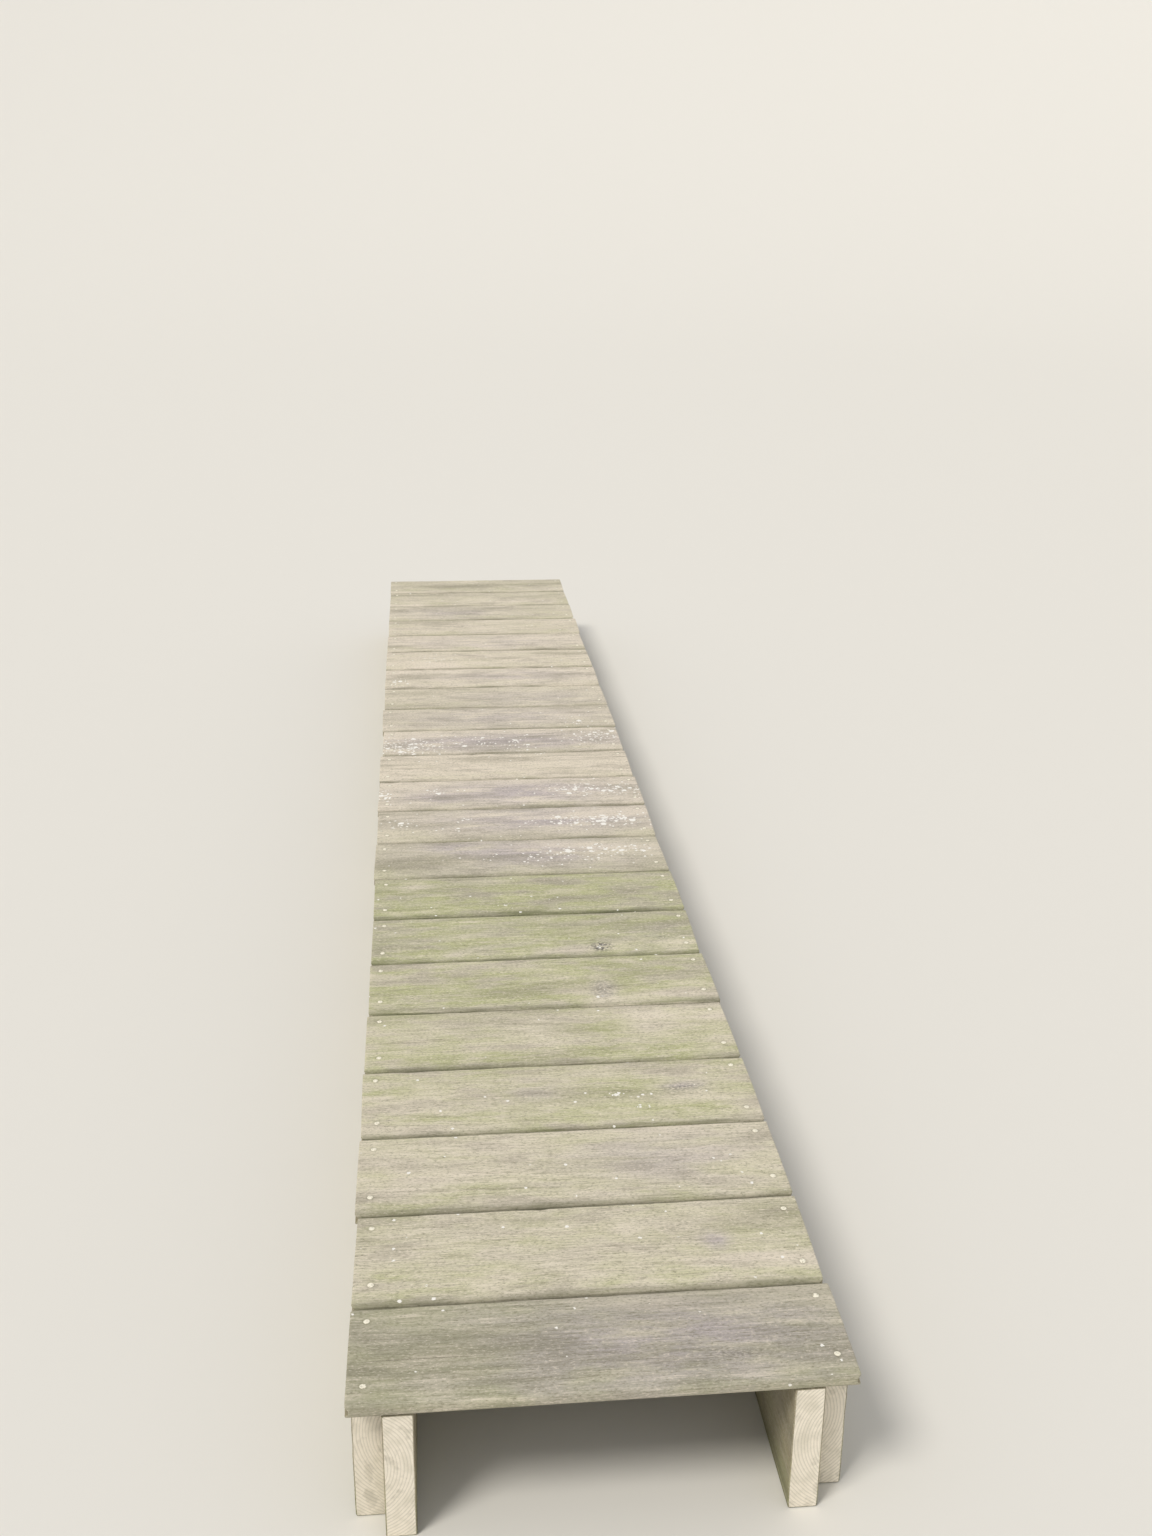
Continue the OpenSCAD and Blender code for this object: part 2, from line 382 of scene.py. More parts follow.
def timber_piece(name, worn, stain, wood, axes, origin, materials):
    """Mesh object of a worn timber. Neighbouring stations join by quads, and each sawn end closes with one more
    ring, a little further in, and a flat face. axes are the unit vectors of a, b and c, and origin is where all
    three are 0. wood is (how pale the wood is, how much dark blotch lies on it). The materials are for the sides and
    for the sawn ends."""
    local = np.concatenate([worn["cap"][:1], worn["place"], worn["cap"][-1:]])
    place = local @ np.array(axes, float) + np.array(origin, float)
    count, around = place.shape[:2]
    quads, ring = tube_faces(count, around), np.arange(around)
    corners = np.concatenate([quads.ravel(), ring[::-1], (count - 1) * around + ring])
    sides = np.concatenate([np.full(len(quads), 4), [around, around]])
    sawn = np.zeros(len(sides), np.int32)
    sawn[:around] = sawn[-around - 2:] = 1

    mesh = bpy.data.meshes.new(name)
    mesh.vertices.add(count * around)
    mesh.vertices.foreach_set("co", place.astype(np.float32).ravel())
    mesh.loops.add(len(corners))
    mesh.loops.foreach_set("vertex_index", corners.astype(np.int32))
    mesh.polygons.add(len(sides))
    mesh.polygons.foreach_set("loop_start", (np.cumsum(sides) - sides).astype(np.int32))
    for material in materials:
        mesh.materials.append(material)
    mesh.polygons.foreach_set("material_index", sawn)
    mesh.polygons.foreach_set("use_smooth", np.ones(len(sides), bool))
    grain = np.stack([worn["ring"], *(0 * worn["ring"] + part for part in wood)], axis=-1)
    for key, kind, values, grid in (("log", "FLOAT_VECTOR", "vector", worn["log"]),
                                    ("marks", "FLOAT_VECTOR", "vector", worn["marks"]),
                                    ("grain", "FLOAT_VECTOR", "vector", grain),
                                    ("stain", "FLOAT_COLOR", "color", stain)):
        rows = np.concatenate([grid[:1], grid, grid[-1:]]).astype(np.float32)
        mesh.attributes.new(key, kind, "POINT").data.foreach_set(values, rows.ravel())
    mesh.update(calc_edges=True)
    if mesh.validate():
        raise RuntimeError(name + " has faulty faces")
    return add_object(name, mesh)


def add_node(tree, kind, inputs=None, **settings):
    """Add a node, set its settings, and fill its inputs with values or with links to other sockets."""
    node = tree.nodes.new(kind)
    for key, value in settings.items():
        setattr(node, key, value)
    for key, value in (inputs or {}).items():
        if isinstance(value, bpy.types.NodeSocket):
            tree.links.new(value, node.inputs[key])
        else:
            node.inputs[key].default_value = value
    return node


def calculate(tree, operation, *values):
    """Result of a math node on numbers or sockets."""
    return add_node(tree, "ShaderNodeMath", dict(enumerate(values)), operation=operation).outputs[0]


def rescale(tree, value, low, high):
    """A value from 0 to 1, brought between low and high."""
    return add_node(tree, "ShaderNodeMapRange", {"Value": value, "To Min": low, "To Max": high}).outputs[0]


def start_material(name, specular):
    """A new material with its node tree and shader."""
    material = bpy.data.materials.new(name)
    material.use_nodes = True
    shader = material.node_tree.nodes["Principled BSDF"]
    shader.inputs["Specular IOR Level"].default_value = specular
    return material, material.node_tree, shader


def lay_stains(tree, colour, stains):
    """Lay stains over a colour one after another, and return the last colour. A stain is (pattern, low, high, most,
    mask, tint). It covers nothing where the pattern is at low and the share `most` at high, times the mask where
    there is one."""
    for pattern, low, high, most, mask, tint in stains:
        cover = add_node(tree, "ShaderNodeMapRange", {"Value": pattern, "From Min": low, "From Max": high,
                                                      "To Max": most}, interpolation_type="SMOOTHSTEP").outputs[0]
        if mask is not None:
            cover = calculate(tree, "MULTIPLY", cover, mask)
        colour = add_node(tree, "ShaderNodeMix", {0: cover, 6: colour, 7: tint}, data_type="RGBA").outputs[2]
    return colour


def finish_surface(tree, shader, colour, pattern, smoothest, roughest):
    """Connect a material's colour, and a roughness that follows a pattern."""
    tree.links.new(colour, shader.inputs["Base Color"])
    tree.links.new(rescale(tree, pattern, smoothest, roughest), shader.inputs["Roughness"])


def add_relief(tree, shader, height, strength, distance):
    """Bump the surface by a height pattern."""
    bump = add_node(tree, "ShaderNodeBump", {"Height": height, "Strength": strength, "Distance": distance})
    tree.links.new(bump.outputs["Normal"], shader.inputs["Normal"])


def weathered_pine(name, grey, pale, specks):
    """Pine, sawn, planed and left outdoors for years, so matt and silvered. The fibres show as fine streaks about 1.6
    mm wide and 33 mm long, in broader streaks 8 mm wide and 140 mm long, over the hard late wood of the growth rings.
    Mottles about 38 by 125 mm, and slower ones of 90 by 530 mm, turn the wood paler and darker, and damp boards carry
    a thin green growth in the mottles. Dirt gathers along the joints, together with painted shade there, on hidden
    faces and under the deck, and some boards are spattered with chalky spots from 2 to 17 mm across. specks is the
    share of 9 mm cells that hold a stray one."""
    finish = bpy.context.scene.footbridge_finish
    dark = finish.late_wood
    material, tree, shader = start_material(name, 0.3)
    log, stain, marks, grain = (add_node(tree, "ShaderNodeAttribute", attribute_name=key).outputs
                                for key in ("log", "stain", "marks", "grain"))
    # amount is algae, lilac, and grime with painted shade; mark is crack, radii from a knot and from a nail; wood is
    # growth ring, paleness and dark blotch.
    amount = add_node(tree, "ShaderNodeSeparateColor", {0: stain["Color"]}).outputs
    mark = add_node(tree, "ShaderNodeSeparateXYZ", {0: marks["Vector"]}).outputs
    wood = add_node(tree, "ShaderNodeSeparateXYZ", {0: grain["Vector"]}).outputs

    noise = {}
    for key, scale, detail, rough in (("fibre", (30, 620, 620), 4, 0.72), ("streak", (7, 120, 120), 4, 0.6),
                                      ("mottle", (8, 26, 26), 7, 0.6), ("weather", (1.9, 11, 11), 5, 0.6),
                                      ("fleck", (190, 430, 430), 2, 0.7)):
        place = add_node(tree, "ShaderNodeMapping", {"Vector": log["Vector"], "Scale": scale}).outputs[0]
        noise[key] = add_node(tree, "ShaderNodeTexNoise", {"Vector": place, "Scale": 1.0, "Detail": detail,
                                                           "Roughness": rough}).outputs["Fac"]
    early = calculate(tree, "COSINE", calculate(tree, "MULTIPLY", wood["X"], 2 * np.pi))
    paleness = calculate(tree, "ADD", noise["streak"], wood["Y"])
    colour = lay_stains(tree, grey, (
        (paleness, 0.60, 1.40, 1.0, None, pale),
        (noise["mottle"], 0.24, 0.56, 1.0, amount["Green"], finish.lilac),
        (noise["mottle"], 0.70, 0.36, 1.0, amount["Red"], finish.algae),
        (early, 0.2, -1.0, 0.14, None, dark),
        (noise["fibre"], 0.50, 0.72, 0.75, None, dark),
        (noise["fibre"], 0.48, 0.30, 0.65, None, pale),
        (noise["streak"], 0.52, 0.72, 0.42, None, dark),
        (noise["streak"], 0.46, 0.28, 0.40, None, pale),
        (noise["mottle"], 0.50, 0.72, 0.45, None, dark),
        (noise["mottle"], 0.48, 0.30, 0.45, None, pale),
        (noise["weather"], 0.50, 0.70, 0.45, None, dark),
        (noise["weather"], 0.48, 0.30, 0.60, None, pale),
        (noise["fleck"], 0.50, 0.76, 0.75, None, dark),
        (noise["fleck"], 0.46, 0.24, 0.75, None, pale),
        (mark["Y"], 1.15, 0.80, 0.55, None, finish.knot),
        (mark["Y"], 1.60, 1.00, 0.35, None, dark),
        (mark["Y"], 0.30, 0.05, 0.55, None, finish.crack),
        (noise["fleck"], 0.42, 0.54, 0.80, wood["Z"], finish.blotch),
        # Grime together with painted shade: along the joints, on hidden sides and undersides, and on the stringer tops
        # under the deck.
        (noise["streak"], 0.15, 0.60, 1.0, amount["Blue"], finish.grime_and_shade),
        (mark["Z"], 2.00, 1.00, 0.20, None, finish.grime_and_shade),
        (mark["X"], 0.05, 0.75, 0.90, None, finish.crack),
    ))

    # Chalky spots lie in the cells of two Voronoi patterns, 16 and 7 mm apart. The share of cells that hold one is
    # the stain's alpha, and its square for the large spots, so that these lie in the thick of a field. A third
    # pattern strews the stray ones. A row gives cells in a metre, that share, and the radii in cells.
    alpha = stain["Alpha"]
    dense = calculate(tree, "MULTIPLY", alpha, alpha)
    for cells, share, narrowest, widest in ((62.0, dense, 0.22, 0.52), (140.0, alpha, 0.12, 0.50),
                                            (115.0, specks, 0.18, 0.36)):
        cell = add_node(tree, "ShaderNodeTexVoronoi", {"Vector": log["Vector"], "Scale": cells}).outputs
        own = add_node(tree, "ShaderNodeSeparateColor", {0: cell["Color"]}).outputs
        chosen = calculate(tree, "LESS_THAN", own["Red"], share)
        ragged = calculate(tree, "MULTIPLY_ADD", noise["fleck"], 0.5, cell["Distance"])
        inside = calculate(tree, "SUBTRACT", rescale(tree, own["Green"], narrowest, widest), ragged)
        colour = lay_stains(tree, colour, ((inside, -0.27, -0.19, 0.95, chosen, finish.chalk),))
    finish_surface(tree, shader, colour, noise["mottle"], 0.74, 0.96)
    height = calculate(tree, "MULTIPLY_ADD", noise["fleck"], 0.3, noise["fibre"])
    add_relief(tree, shader, height, 0.6, 0.8 * MM)
    return material


def sawn_end(name, base):
    """End grain of pine, cut with a coarse saw and weathered, so quite matt. Growth rings show as arcs about the
    pith, as far apart as in the rest of the timber, among pores drawn 1 mm wide, coarser than real ones."""
    finish = bpy.context.scene.footbridge_finish
    material, tree, shader = start_material(name, 0.2)
    log = add_node(tree, "ShaderNodeAttribute", attribute_name="log").outputs["Vector"]
    scale = WAVE_SPACING / bpy.context.scene.footbridge_timber.ring_spacing
    rings = add_node(tree, "ShaderNodeTexWave", {"Vector": log, "Scale": scale, "Distortion": 2.2, "Detail": 2.0,
                                                 "Detail Scale": 0.35, "Detail Roughness": 0.6},
                     wave_type="RINGS", rings_direction="X").outputs["Fac"]
    pores = add_node(tree, "ShaderNodeTexNoise", {"Vector": log, "Scale": 1000.0, "Detail": 2.0}).outputs["Fac"]
    patches = add_node(tree, "ShaderNodeTexNoise", {"Vector": log, "Scale": 45.0, "Detail": 4.0}).outputs["Fac"]
    colour = lay_stains(tree, base, (
        (rings, 0.45, 0.98, 0.24, None, finish.late_wood),
        (patches, 0.44, 0.72, 0.40, None, finish.silver),
        (patches, 0.46, 0.30, 0.30, None, finish.late_wood),
        (pores, 0.54, 0.80, 0.35, None, finish.late_wood),
    ))
    finish_surface(tree, shader, colour, patches, 0.84, 0.98)
    add_relief(tree, shader, pores, 0.5, 0.6 * MM)
    return material


def galvanised_steel(name):
    """Steel nail, hot-dipped in zinc and left outdoors. The zinc has gone dull, with a chalky bloom in flecks about
    2 mm across that no longer reflects as metal."""
    finish = bpy.context.scene.footbridge_finish
    material, tree, shader = start_material(name, 0.5)
    place = add_node(tree, "ShaderNodeTexCoord").outputs["Object"]
    flecks = add_node(tree, "ShaderNodeTexNoise", {"Vector": place, "Scale": 480.0, "Detail": 3.0}).outputs["Fac"]
    colour = lay_stains(tree, finish.zinc, (
        (flecks, 0.34, 0.50, 1.0, None, linear("#FBF6E5")),
        (flecks, 0.38, 0.26, 0.6, None, linear("#8C8474")),
    ))
    finish_surface(tree, shader, colour, flecks, 0.35, 0.85)
    metal = add_node(tree, "ShaderNodeMapRange", {"Value": flecks, "From Min": 0.50, "From Max": 0.34}).outputs[0]
    tree.links.new(metal, shader.inputs["Metallic"])
    return material


def laid_board(number):
    """How the CAD lays one deck board: the origin of its coordinates, its size, its crown, and for each end the slope
    and offset of the sawn line across the board, all fitted to the node's own mesh."""
    name = BOARDS[number - 1]
    x, y, z = coordinates(frame["nodes"][name].data).T
    low, high = (np.array(corner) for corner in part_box(name))
    y = y - (low[1] + high[1]) / 2
    cuts = [np.polyfit(y[x < 0], x[x < 0] - low[0], 1), np.polyfit(y[x > 0], x[x > 0] - high[0], 1)]
    size = high - low
    top = (z > low[2] + size[2] / 2) & (np.abs(y) < size[1] / 2 - bpy.context.scene.footbridge_timber.board_edge)
    fall = -np.polyfit(y[top] ** 2, z[top], 1)[0] * (size[1] / 2) ** 2
    return (low[0], (low[1] + high[1]) / 2, low[2]), size, float(np.clip(fall, 0.2 * MM, 4 * MM)), cuts


def nail_spots(number):
    """Places of one board's four nails, as (a, b, radius): two at each end, each a little off its even place."""
    nails = bpy.context.scene.footbridge_nails
    _, (span, width, _), _, cuts = laid_board(number)
    rng = np.random.default_rng(SEEDS["nail_place"] + number)
    spots = []
    for end, row in ((0, nails.near_row), (0, nails.far_row), (1, nails.near_row), (1, nails.far_row)):
        b = (row - 0.5) * width + rng.normal(0, STRAY_ACROSS) * MM
        inset = nails.inset + rng.normal(0, STRAY_ALONG) * MM
        edge = np.polyval(cuts[end], b)
        spots.append((float(edge + inset if end == 0 else span + edge - inset), float(b), nails.head / 2))
    return spots


def patch_sum(patches, board, a, b, width):
    """Sum of one board's patches, each a bell curve along and across the board, held between 0 and 1."""
    total = 0 * a
    for which, along, across, reach_a, reach_b, strength in patches:
        if which == board:
            bell = hump(a - along * MM, reach_a * MM) * hump(b + width / 2 - across * MM, reach_b * MM)
            total = total + strength * bell
    return total.clip(0, 1)


def board_stains(number, worn, width):
    """Stain on one deck board: algae, lilac, grime with painted shade, and the share of chalky spots. Algae grows in
    slow patches, and more along the near edge. Grime and painted shade lie in a bell curve along each joint, wider and
    darker along the near edge and where it is damp. The band on the near edge paints the shade of the rounded edge in
    the joint. Damp dirt and painted shade also lie all over a hidden side and the underside, where the gaps and the
    deck shade them. On the first board a thin darkening lies all over."""
    a, b, face = worn["a"], worn["b"], worn["face"]
    near, far = b + width / 2, width / 2 - b
    patchy = 0.5 + 0.5 * seeded_waves(a, b, SEEDS["patches"] + number, 0.22, 0.07)
    damp = 0.5 + 0.5 * seeded_waves(a, b, SEEDS["board_damp"] + number, 0.16, 0.3)
    growth, first, last = BOARD_ALGAE[number - 1], number == 1, number == len(BOARDS)
    algae = growth * (0.45 + 0.75 * patchy) + 0.25 * patchy * hump(near - 20 * MM, 30 * MM)
    # Along each joint: dirt, and painted shade on the rounded near edge and in the gap.
    grime_and_shade = (0.70 + 0.30 * growth) * (0.46 + 0.34 * damp) * (not first)
    grime_and_shade = grime_and_shade * hump(near, (3.5 + 3 * growth + 4 * damp) * MM)
    grime_and_shade = grime_and_shade + 0.20 * hump(far, 3 * MM) * (not last)
    grime_and_shade = grime_and_shade + 0.22 * (0.7 + 0.6 * patchy) * first
    # On hidden sides and undersides: damp dirt and painted shade between the boards and under the deck. The open ends
    # of the deck are left out.
    open_side = first & (near < 1 * MM) | last & (far < 1 * MM)
    grime_and_shade = np.where((face < 0.3) & ~open_side, np.maximum(grime_and_shade, 0.40 + 0.25 * damp), grime_and_shade)
    spots = patch_sum(SPOT_FIELDS, number, a, b, width) * (face > 0.5)
    lilac = patch_sum(LILAC_PATCHES, number, a, b, width)
    return np.stack([algae.clip(0, 1) * (1 - 0.8 * lilac), lilac, grime_and_shade.clip(0, 0.9), spots], axis=-1)


def stringer_stains(number, worn, width, along, joints):
    """Stain on one stringer timber, in the same form: algae and grime thicker towards its foot, a little lilac towards
    the deck, dark drips of uneven length under each joint of the deck, and a band of painted shade along its top,
    under the deck boards. along is each point's place along the bridge."""
    a, b = worn["a"], worn["b"]
    up = b + width / 2
    damp = 0.5 + 0.5 * seeded_waves(a, b, SEEDS["stringer_damp"] + number, 0.3, 0.2)
    run = 0.5 + 0.5 * seeded_waves(a, 0 * b, SEEDS["drips"] + number, 0.2, 1.0)
    to_joint = np.abs(along[..., None] - joints).min(axis=-1)
    drip = hump(to_joint, 7 * MM + 8 * MM * run) * ramp(up, width * (0.75 - 0.7 * run), width)
    grime_and_shade = 0.55 * drip + (0.25 + 0.4 * damp) * ramp(up, (0.12 + 0.25 * damp) * width, 0)
    # The top 6 mm is darkened as painted shade under the deck boards.
    grime_and_shade = grime_and_shade + 0.35 * ramp(up, width - 6 * MM, width) + 0.12 * damp
    return np.stack([(0.25 + 0.45 * damp) * ramp(up, 0.8 * width, 0), 0.25 * run * ramp(up, 0, 0.6 * width),
                     grime_and_shade.clip(0, 0.9), 0 * a], axis=-1)


class FOOTBRIDGE_OT_deck_boards(bpy.types.Operator):
    """Make every deck board as a worn, rounded plank with its own grain, sawn ends and stains"""
    bl_idname = "footbridge.deck_boards"
    bl_label = "Lay deck boards"

    def execute(self, context):
        shape, finish = context.scene.footbridge_timber, context.scene.footbridge_finish
        inset = context.scene.footbridge_nails.inset
        materials = (weathered_pine("Pine deck board, weathered", finish.silver, finish.straw, 0.016),
                     sawn_end("Pine deck board, sawn end", finish.board_end))
        for number, name in enumerate(BOARDS, 1):
            rng = np.random.default_rng(SEEDS["board"] + number)
            origin, (span, width, height), crown, cuts = laid_board(number)
            half = width / 2

            def ends(b, c):
                from_side = np.clip(half - np.abs(b), 0, shape.plan_round)
                worn = shape.plan_round - np.sqrt(shape.plan_round ** 2 - (shape.plan_round - from_side) ** 2)
                torn = [0.35 * MM * np.abs(seeded_waves(b, c, SEEDS["torn_end"] + 2 * number + k, 12 * MM, 6 * MM))
                        for k in (0, 1)]
                return (np.polyval(cuts[0], b).clip(0, None) + worn + torn[0],
                        np.polyval(cuts[1], b).clip(None, 0) - worn - torn[1])

            checks = []
            for _ in range(rng.integers(2, 5)):
                start, run = rng.choice([4 * MM, rng.uniform(0.05, 0.45)]), rng.uniform(0.05, 0.16)
                checks.append((start, start + run, rng.uniform(-0.85, 0.85) * (half - 10 * MM),
                               shape.check_depth * rng.uniform(0.4, 1)))
            look = {
                "seed": 40 * number, "along": 1.7 * number, "spacing": BOARD_MESH, "knots": [],
                "nails": nail_spots(number), "checks": checks,
                "chips": [(rng.uniform(0.02, span - 0.02), rng.choice([-1, 1]), rng.uniform(3, 9) * MM,
                           rng.uniform(0.6, 1.8) * MM) for _ in range(rng.integers(1, 4))],
                "pith": (rng.uniform(-0.07, 0.07), -rng.uniform(0.03, 0.11), rng.uniform(-0.03, 0.03),
                         rng.uniform(-0.03, 0.03)),
                "close": [(inset, 8 * MM, 2 * MM), (span - inset, 8 * MM, 2 * MM)],
            }
            worn = worn_timber((span, width, height), shape.board_edge, look, crown, ends)
            stain = board_stains(number, worn, width)
            wood = (BOARD_PALE[number - 1], patch_sum(DARK_BLOTCHES, number, worn["a"], worn["b"], width))
            piece = timber_piece("worn_" + name, worn, stain, wood, np.eye(3), origin, materials)
            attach(piece, "root")
            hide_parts(name)
        return {"FINISHED"}


class FOOTBRIDGE_OT_stringers(bpy.types.Operator):
    """Make the two pairs of stringer timbers, darker where they stand in the damp and under each joint of the deck,
    with painted shade along their tops under the deck
    """
    bl_idname = "footbridge.stringers"
    bl_label = "Set stringers"

    def execute(self, context):
        shape, finish = context.scene.footbridge_timber, context.scene.footbridge_finish
        materials = (weathered_pine("Pine stringer, weathered", finish.sheltered, finish.silver, 0.003),
                     # The sawn ends take the near-white end colour, which is partly painted sunlight.
                     sawn_end("Pine stringer, sawn end", finish.sunlit_stringer_end))
        joints = np.array([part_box(name)[0][1] for name in BOARDS[1:]])
        for number, (name, side) in enumerate((("left_outer_stringer", -1), ("left_inner_stringer", 1),
                                               ("right_inner_stringer", -1), ("right_outer_stringer", 1))):
            rng = np.random.default_rng(SEEDS["stringer"] + number)
            low, high = (np.array(corner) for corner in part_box(name))
            height, span, width = high - low
            axes = ((0, side, 0), (0, 0, 1), (side, 0, 0))
            origin = (low if side > 0 else high) * (1, 1, 0) + (0, 0, (low[2] + high[2]) / 2)
            knots = [(rng.uniform(0.1, span - 0.1), rng.uniform(-0.3, 0.3) * width, rng.uniform(7, 13) * MM)
                     for _ in range(5)]
            checks = []
            for _ in range(9):
                start = rng.uniform(0.01, span - 0.4)
                checks.append((start, start + rng.uniform(0.1, 0.5), rng.uniform(-0.4, 0.4) * width,
                               shape.check_depth * rng.uniform(0.4, 1)))
            look = {
                "seed": 3000 + 40 * number, "along": 60.0 + 5 * number, "spacing": STRINGER_MESH, "knots": knots,
                "nails": [], "checks": checks,
                "chips": [(rng.uniform(0.02, span - 0.02), -1, rng.uniform(5, 20) * MM, rng.uniform(0.8, 2) * MM)
                          for _ in range(6)],
                "pith": (rng.uniform(-0.03, 0.03), -rng.uniform(0.03, 0.08), rng.uniform(-0.006, 0.006),
                         rng.uniform(-0.006, 0.006)),
                "close": [(at, 2.6 * r, r / 3) for at, _, r in knots],
            }
            worn = worn_timber((span, width, height), shape.stringer_edge, look)
            stain = stringer_stains(number, worn, width, origin[1] + side * worn["a"], joints)
            piece = timber_piece("worn_" + name, worn, stain, (0.25, 0.0), axes, origin, materials)
            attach(piece, "root")
            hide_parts(name)
        return {"FINISHED"}


class FOOTBRIDGE_OT_nails(bpy.types.Operator):
    """Drive two nails into each board end, with their heads in the bruised wood"""
    bl_idname = "footbridge.nails"
    bl_label = "Drive nails"

    def execute(self, context):
        # A nail is a half section (radius, height) turned about its axis: a low dome, the rim, the underside of the
        # head and the start of the shank. It leans by a height that grows evenly across the head.
        nails = context.scene.footbridge_nails
        radius, rim, shank = nails.head / 2, nails.rim, nails.shank / 2
        section = np.array([(0, 0.25 * rim), (0.45 * radius, 0.22 * rim), (0.8 * radius, 0.1 * rim),
                            (0.96 * radius, -0.1 * rim), (radius, -0.4 * rim), (0.97 * radius, -rim),
                            (shank, -1.15 * rim), (shank, -12 * rim), (0, -14 * rim)])
        turn = np.linspace(0, 2 * np.pi, NAIL_SIDES, endpoint=False)
        one = np.stack([section[:, :1] * np.cos(turn), section[:, :1] * np.sin(turn), section[:, 1:] + 0 * turn],
                       axis=-1).reshape(-1, 3)
        parts = []
        for number, name in enumerate(BOARDS, 1):
            co = coordinates(bpy.data.objects["worn_" + name].data)
            co = co[co[:, 2] > co[:, 2].mean()]
            origin = laid_board(number)[0]
            rng = np.random.default_rng(SEEDS["nail_lean"] + number)
            for a, b, _ in nail_spots(number):
                x, y = origin[0] + a, origin[1] + b
                level = co[np.hypot(co[:, 0] - x, co[:, 1] - y) < radius, 2].mean()
                lean = one[:, :2] @ rng.normal(0, 0.05, 2)
                parts.append(one + (x, y, level + HEAD_PROUD) + lean[:, None] * (0, 0, 1))
        # The section runs from the top down, so the quads turn the other way.
        quads = np.roll(tube_faces(len(section), NAIL_SIDES)[:, ::-1], 1, axis=1)
        quads = quads + (np.arange(len(parts)) * len(one))[:, None, None]
        mesh = bpy.data.meshes.new("deck_nails")
        mesh.from_pydata(np.concatenate(parts), [], quads.reshape(-1, 4))
        whole = bmesh.new()
        whole.from_mesh(mesh)
        bmesh.ops.remove_doubles(whole, verts=whole.verts, dist=1e-6)
        whole.to_mesh(mesh)
        whole.free()
        mesh.polygons.foreach_set("use_smooth", np.ones(len(mesh.polygons), bool))
        mesh.materials.append(galvanised_steel("Galvanised steel nail"))
        piece = add_object("deck_nails", mesh)
        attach(piece, "root")
        return {"FINISHED"}


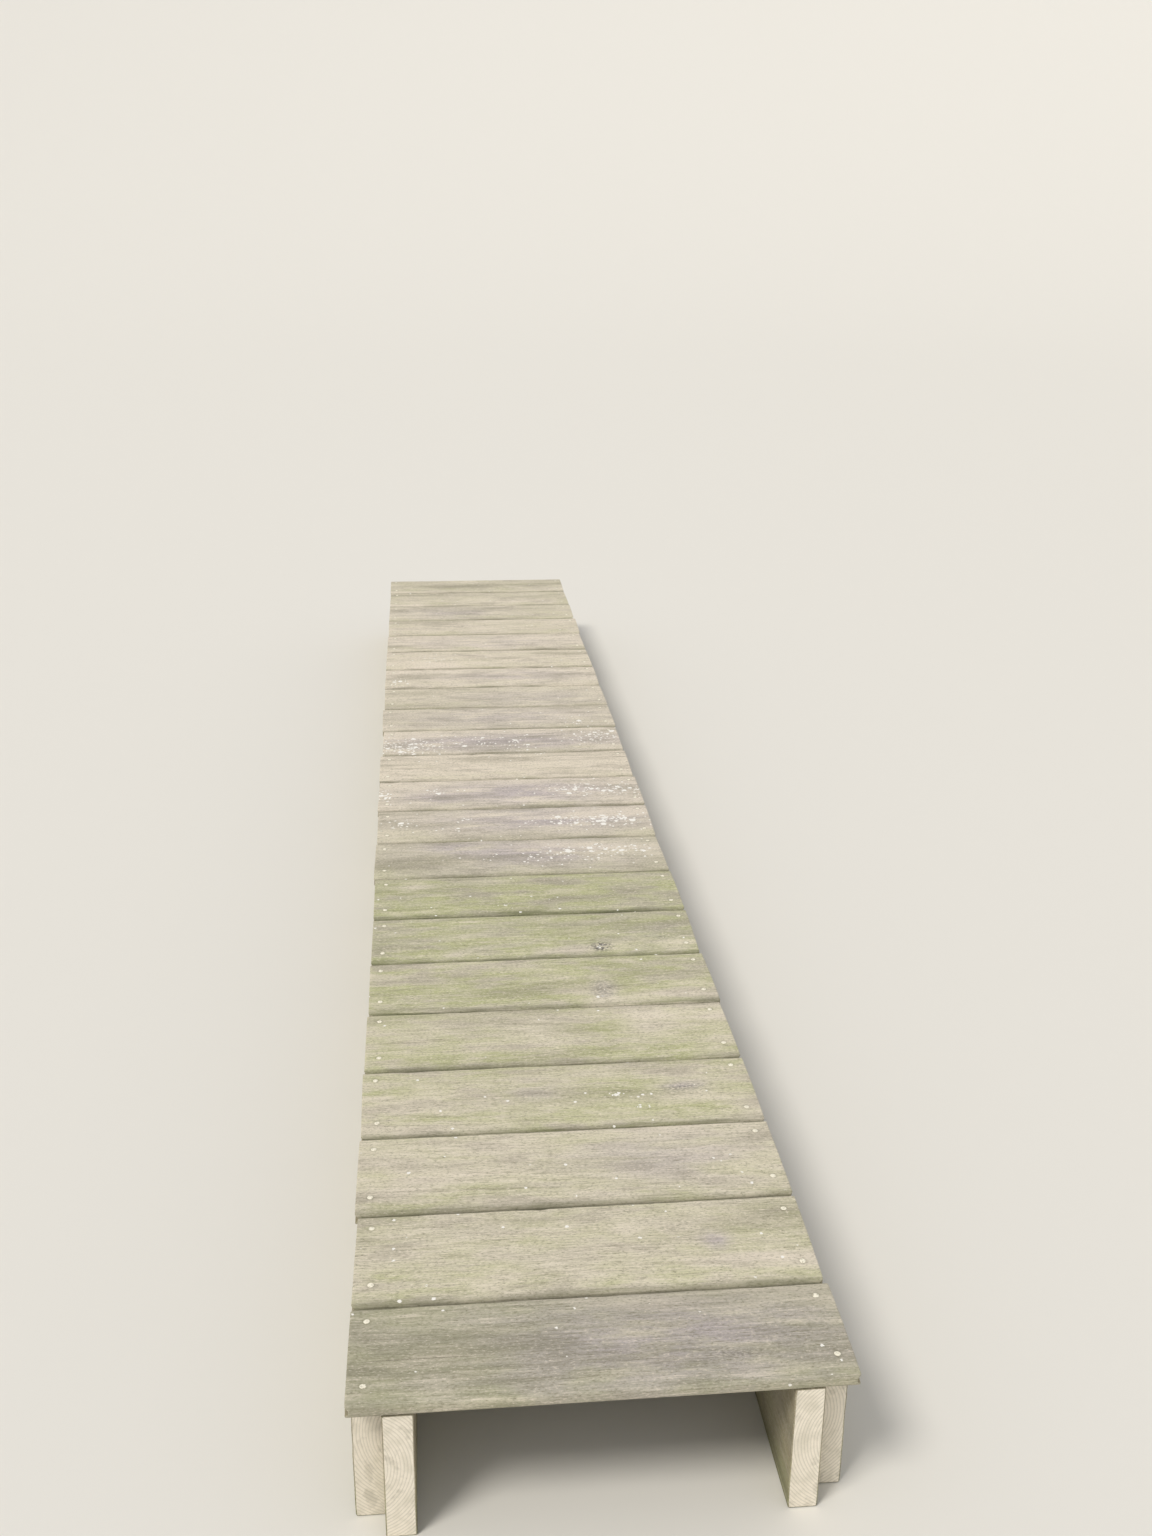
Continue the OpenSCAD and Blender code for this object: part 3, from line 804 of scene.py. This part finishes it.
class FOOTBRIDGE_OT_stage(bpy.types.Operator):
    """Set the pale floor, the soft light and the camera at the photograph's viewpoint"""
    bl_idname = "footbridge.stage"
    bl_label = "Set stage"

    def execute(self, context):
        scene, stage = context.scene, context.scene.footbridge_stage
        # The floor is level round the bridge, and further out it rises as the square of the distance.
        grid = np.linspace(-FLOOR_REACH, FLOOR_REACH, FLOOR_POINTS)
        x, y = np.meshgrid(grid, grid)
        z = BACKDROP_RISE * (np.hypot(x, y) - BACKDROP_START).clip(0, None) ** 2
        step = np.arange(FLOOR_POINTS - 1)
        first = (step[:, None] * FLOOR_POINTS + step).ravel()
        mesh = bpy.data.meshes.new("floor")
        mesh.from_pydata(np.stack([x, y, z], axis=-1).reshape(-1, 3), [],
                         np.stack([first, first + 1, first + FLOOR_POINTS + 1, first + FLOOR_POINTS], axis=-1))
        mesh.polygons.foreach_set("use_smooth", np.ones(len(mesh.polygons), bool))
        material, _, shader = start_material("Matt paper floor", 0.2)
        shader.inputs["Base Color"].default_value = stage.floor
        shader.inputs["Roughness"].default_value = 0.9
        mesh.materials.append(material)
        floor = add_object("floor", mesh)

        # The sky lights the bridge evenly, and where it is seen it has the lit floor's colour.
        world = bpy.data.worlds.new("Even light")
        world.use_nodes = True
        tree = world.node_tree
        path = add_node(tree, "ShaderNodeLightPath").outputs
        seen = calculate(tree, "MAXIMUM", path["Is Camera Ray"], path["Is Glossy Ray"])
        seen = calculate(tree, "MAXIMUM", seen, path["Is Transmission Ray"])
        tint = add_node(tree, "ShaderNodeMix", {0: seen, 6: linear("#FBFCFF"), 7: linear("#E8E4DC")}, data_type="RGBA")
        sky = tree.nodes["Background"]
        tree.links.new(tint.outputs[2], sky.inputs["Color"])
        tree.links.new(rescale(tree, seen, stage.fill, 1.0), sky.inputs["Strength"])
        scene.world = world

        key = add_object("key", bpy.data.lights.new("key", "SUN"))
        key.data.energy = stage.key
        key.data.angle = np.radians(KEY_ANGLE)
        key.data.color = linear("#FFFAF0")[:3]
        key.rotation_euler = Vector(KEY_AIM).to_track_quat("-Z", "Y").to_euler()

        turn, dip, roll = np.radians(CAMERA_ANGLES)
        level = np.array([np.sin(turn), np.cos(turn), 0])
        aim = level * np.cos(dip) - np.array([0, 0, np.sin(dip)])
        up = level * np.sin(dip) + np.array([0, 0, np.cos(dip)])
        right = np.cross(aim, up) * np.cos(roll) + up * np.sin(roll)
        camera = add_object("camera", bpy.data.cameras.new("camera"))
        camera.data.lens = stage.lens
        camera.data.sensor_width = 36
        rows = np.column_stack([right, np.cross(right, aim), -aim, CAMERA_PLACE])
        camera.matrix_world = Matrix([*rows, (0, 0, 0, 1)])
        scene.camera = camera
        scene.view_settings.view_transform = "Standard"
        return {"FINISHED"}


class FOOTBRIDGE_PT_panel(bpy.types.Panel):
    """Sizes, colours and making of the footbridge's visible pieces"""
    bl_label = "Footbridge"
    bl_idname = "FOOTBRIDGE_PT_panel"
    bl_space_type = "VIEW_3D"
    bl_region_type = "UI"
    bl_category = "Footbridge"

    def draw(self, context):
        for key, (group, title) in GROUPS.items():
            box = self.layout.box()
            box.label(text=title)
            for name in group.__annotations__:
                box.prop(getattr(context.scene, key), name)
        for operator in OPERATORS:
            self.layout.operator(operator.bl_idname)


GROUPS = {
    "footbridge_timber": (FootbridgeTimber, "Timber"),
    "footbridge_nails": (FootbridgeNails, "Nails"),
    "footbridge_finish": (FootbridgeFinish, "Finish"),
    "footbridge_stage": (FootbridgeStage, "Stage"),
}
OPERATORS = (FOOTBRIDGE_OT_deck_boards, FOOTBRIDGE_OT_stringers, FOOTBRIDGE_OT_nails, FOOTBRIDGE_OT_stage)


def register():
    for key, (group, _) in GROUPS.items():
        bpy.utils.register_class(group)
        setattr(bpy.types.Scene, key, PointerProperty(type=group))
    for cls in (*OPERATORS, FOOTBRIDGE_PT_panel):
        bpy.utils.register_class(cls)


def unregister():
    for cls in (FOOTBRIDGE_PT_panel, *reversed(OPERATORS)):
        bpy.utils.unregister_class(cls)
    for key, (group, _) in reversed(GROUPS.items()):
        delattr(bpy.types.Scene, key)
        bpy.utils.unregister_class(group)


def main():
    register()
    bpy.ops.footbridge.deck_boards()
    bpy.ops.footbridge.stringers()
    bpy.ops.footbridge.nails()
    bpy.ops.footbridge.stage()


if __name__ == "__main__":
    main()
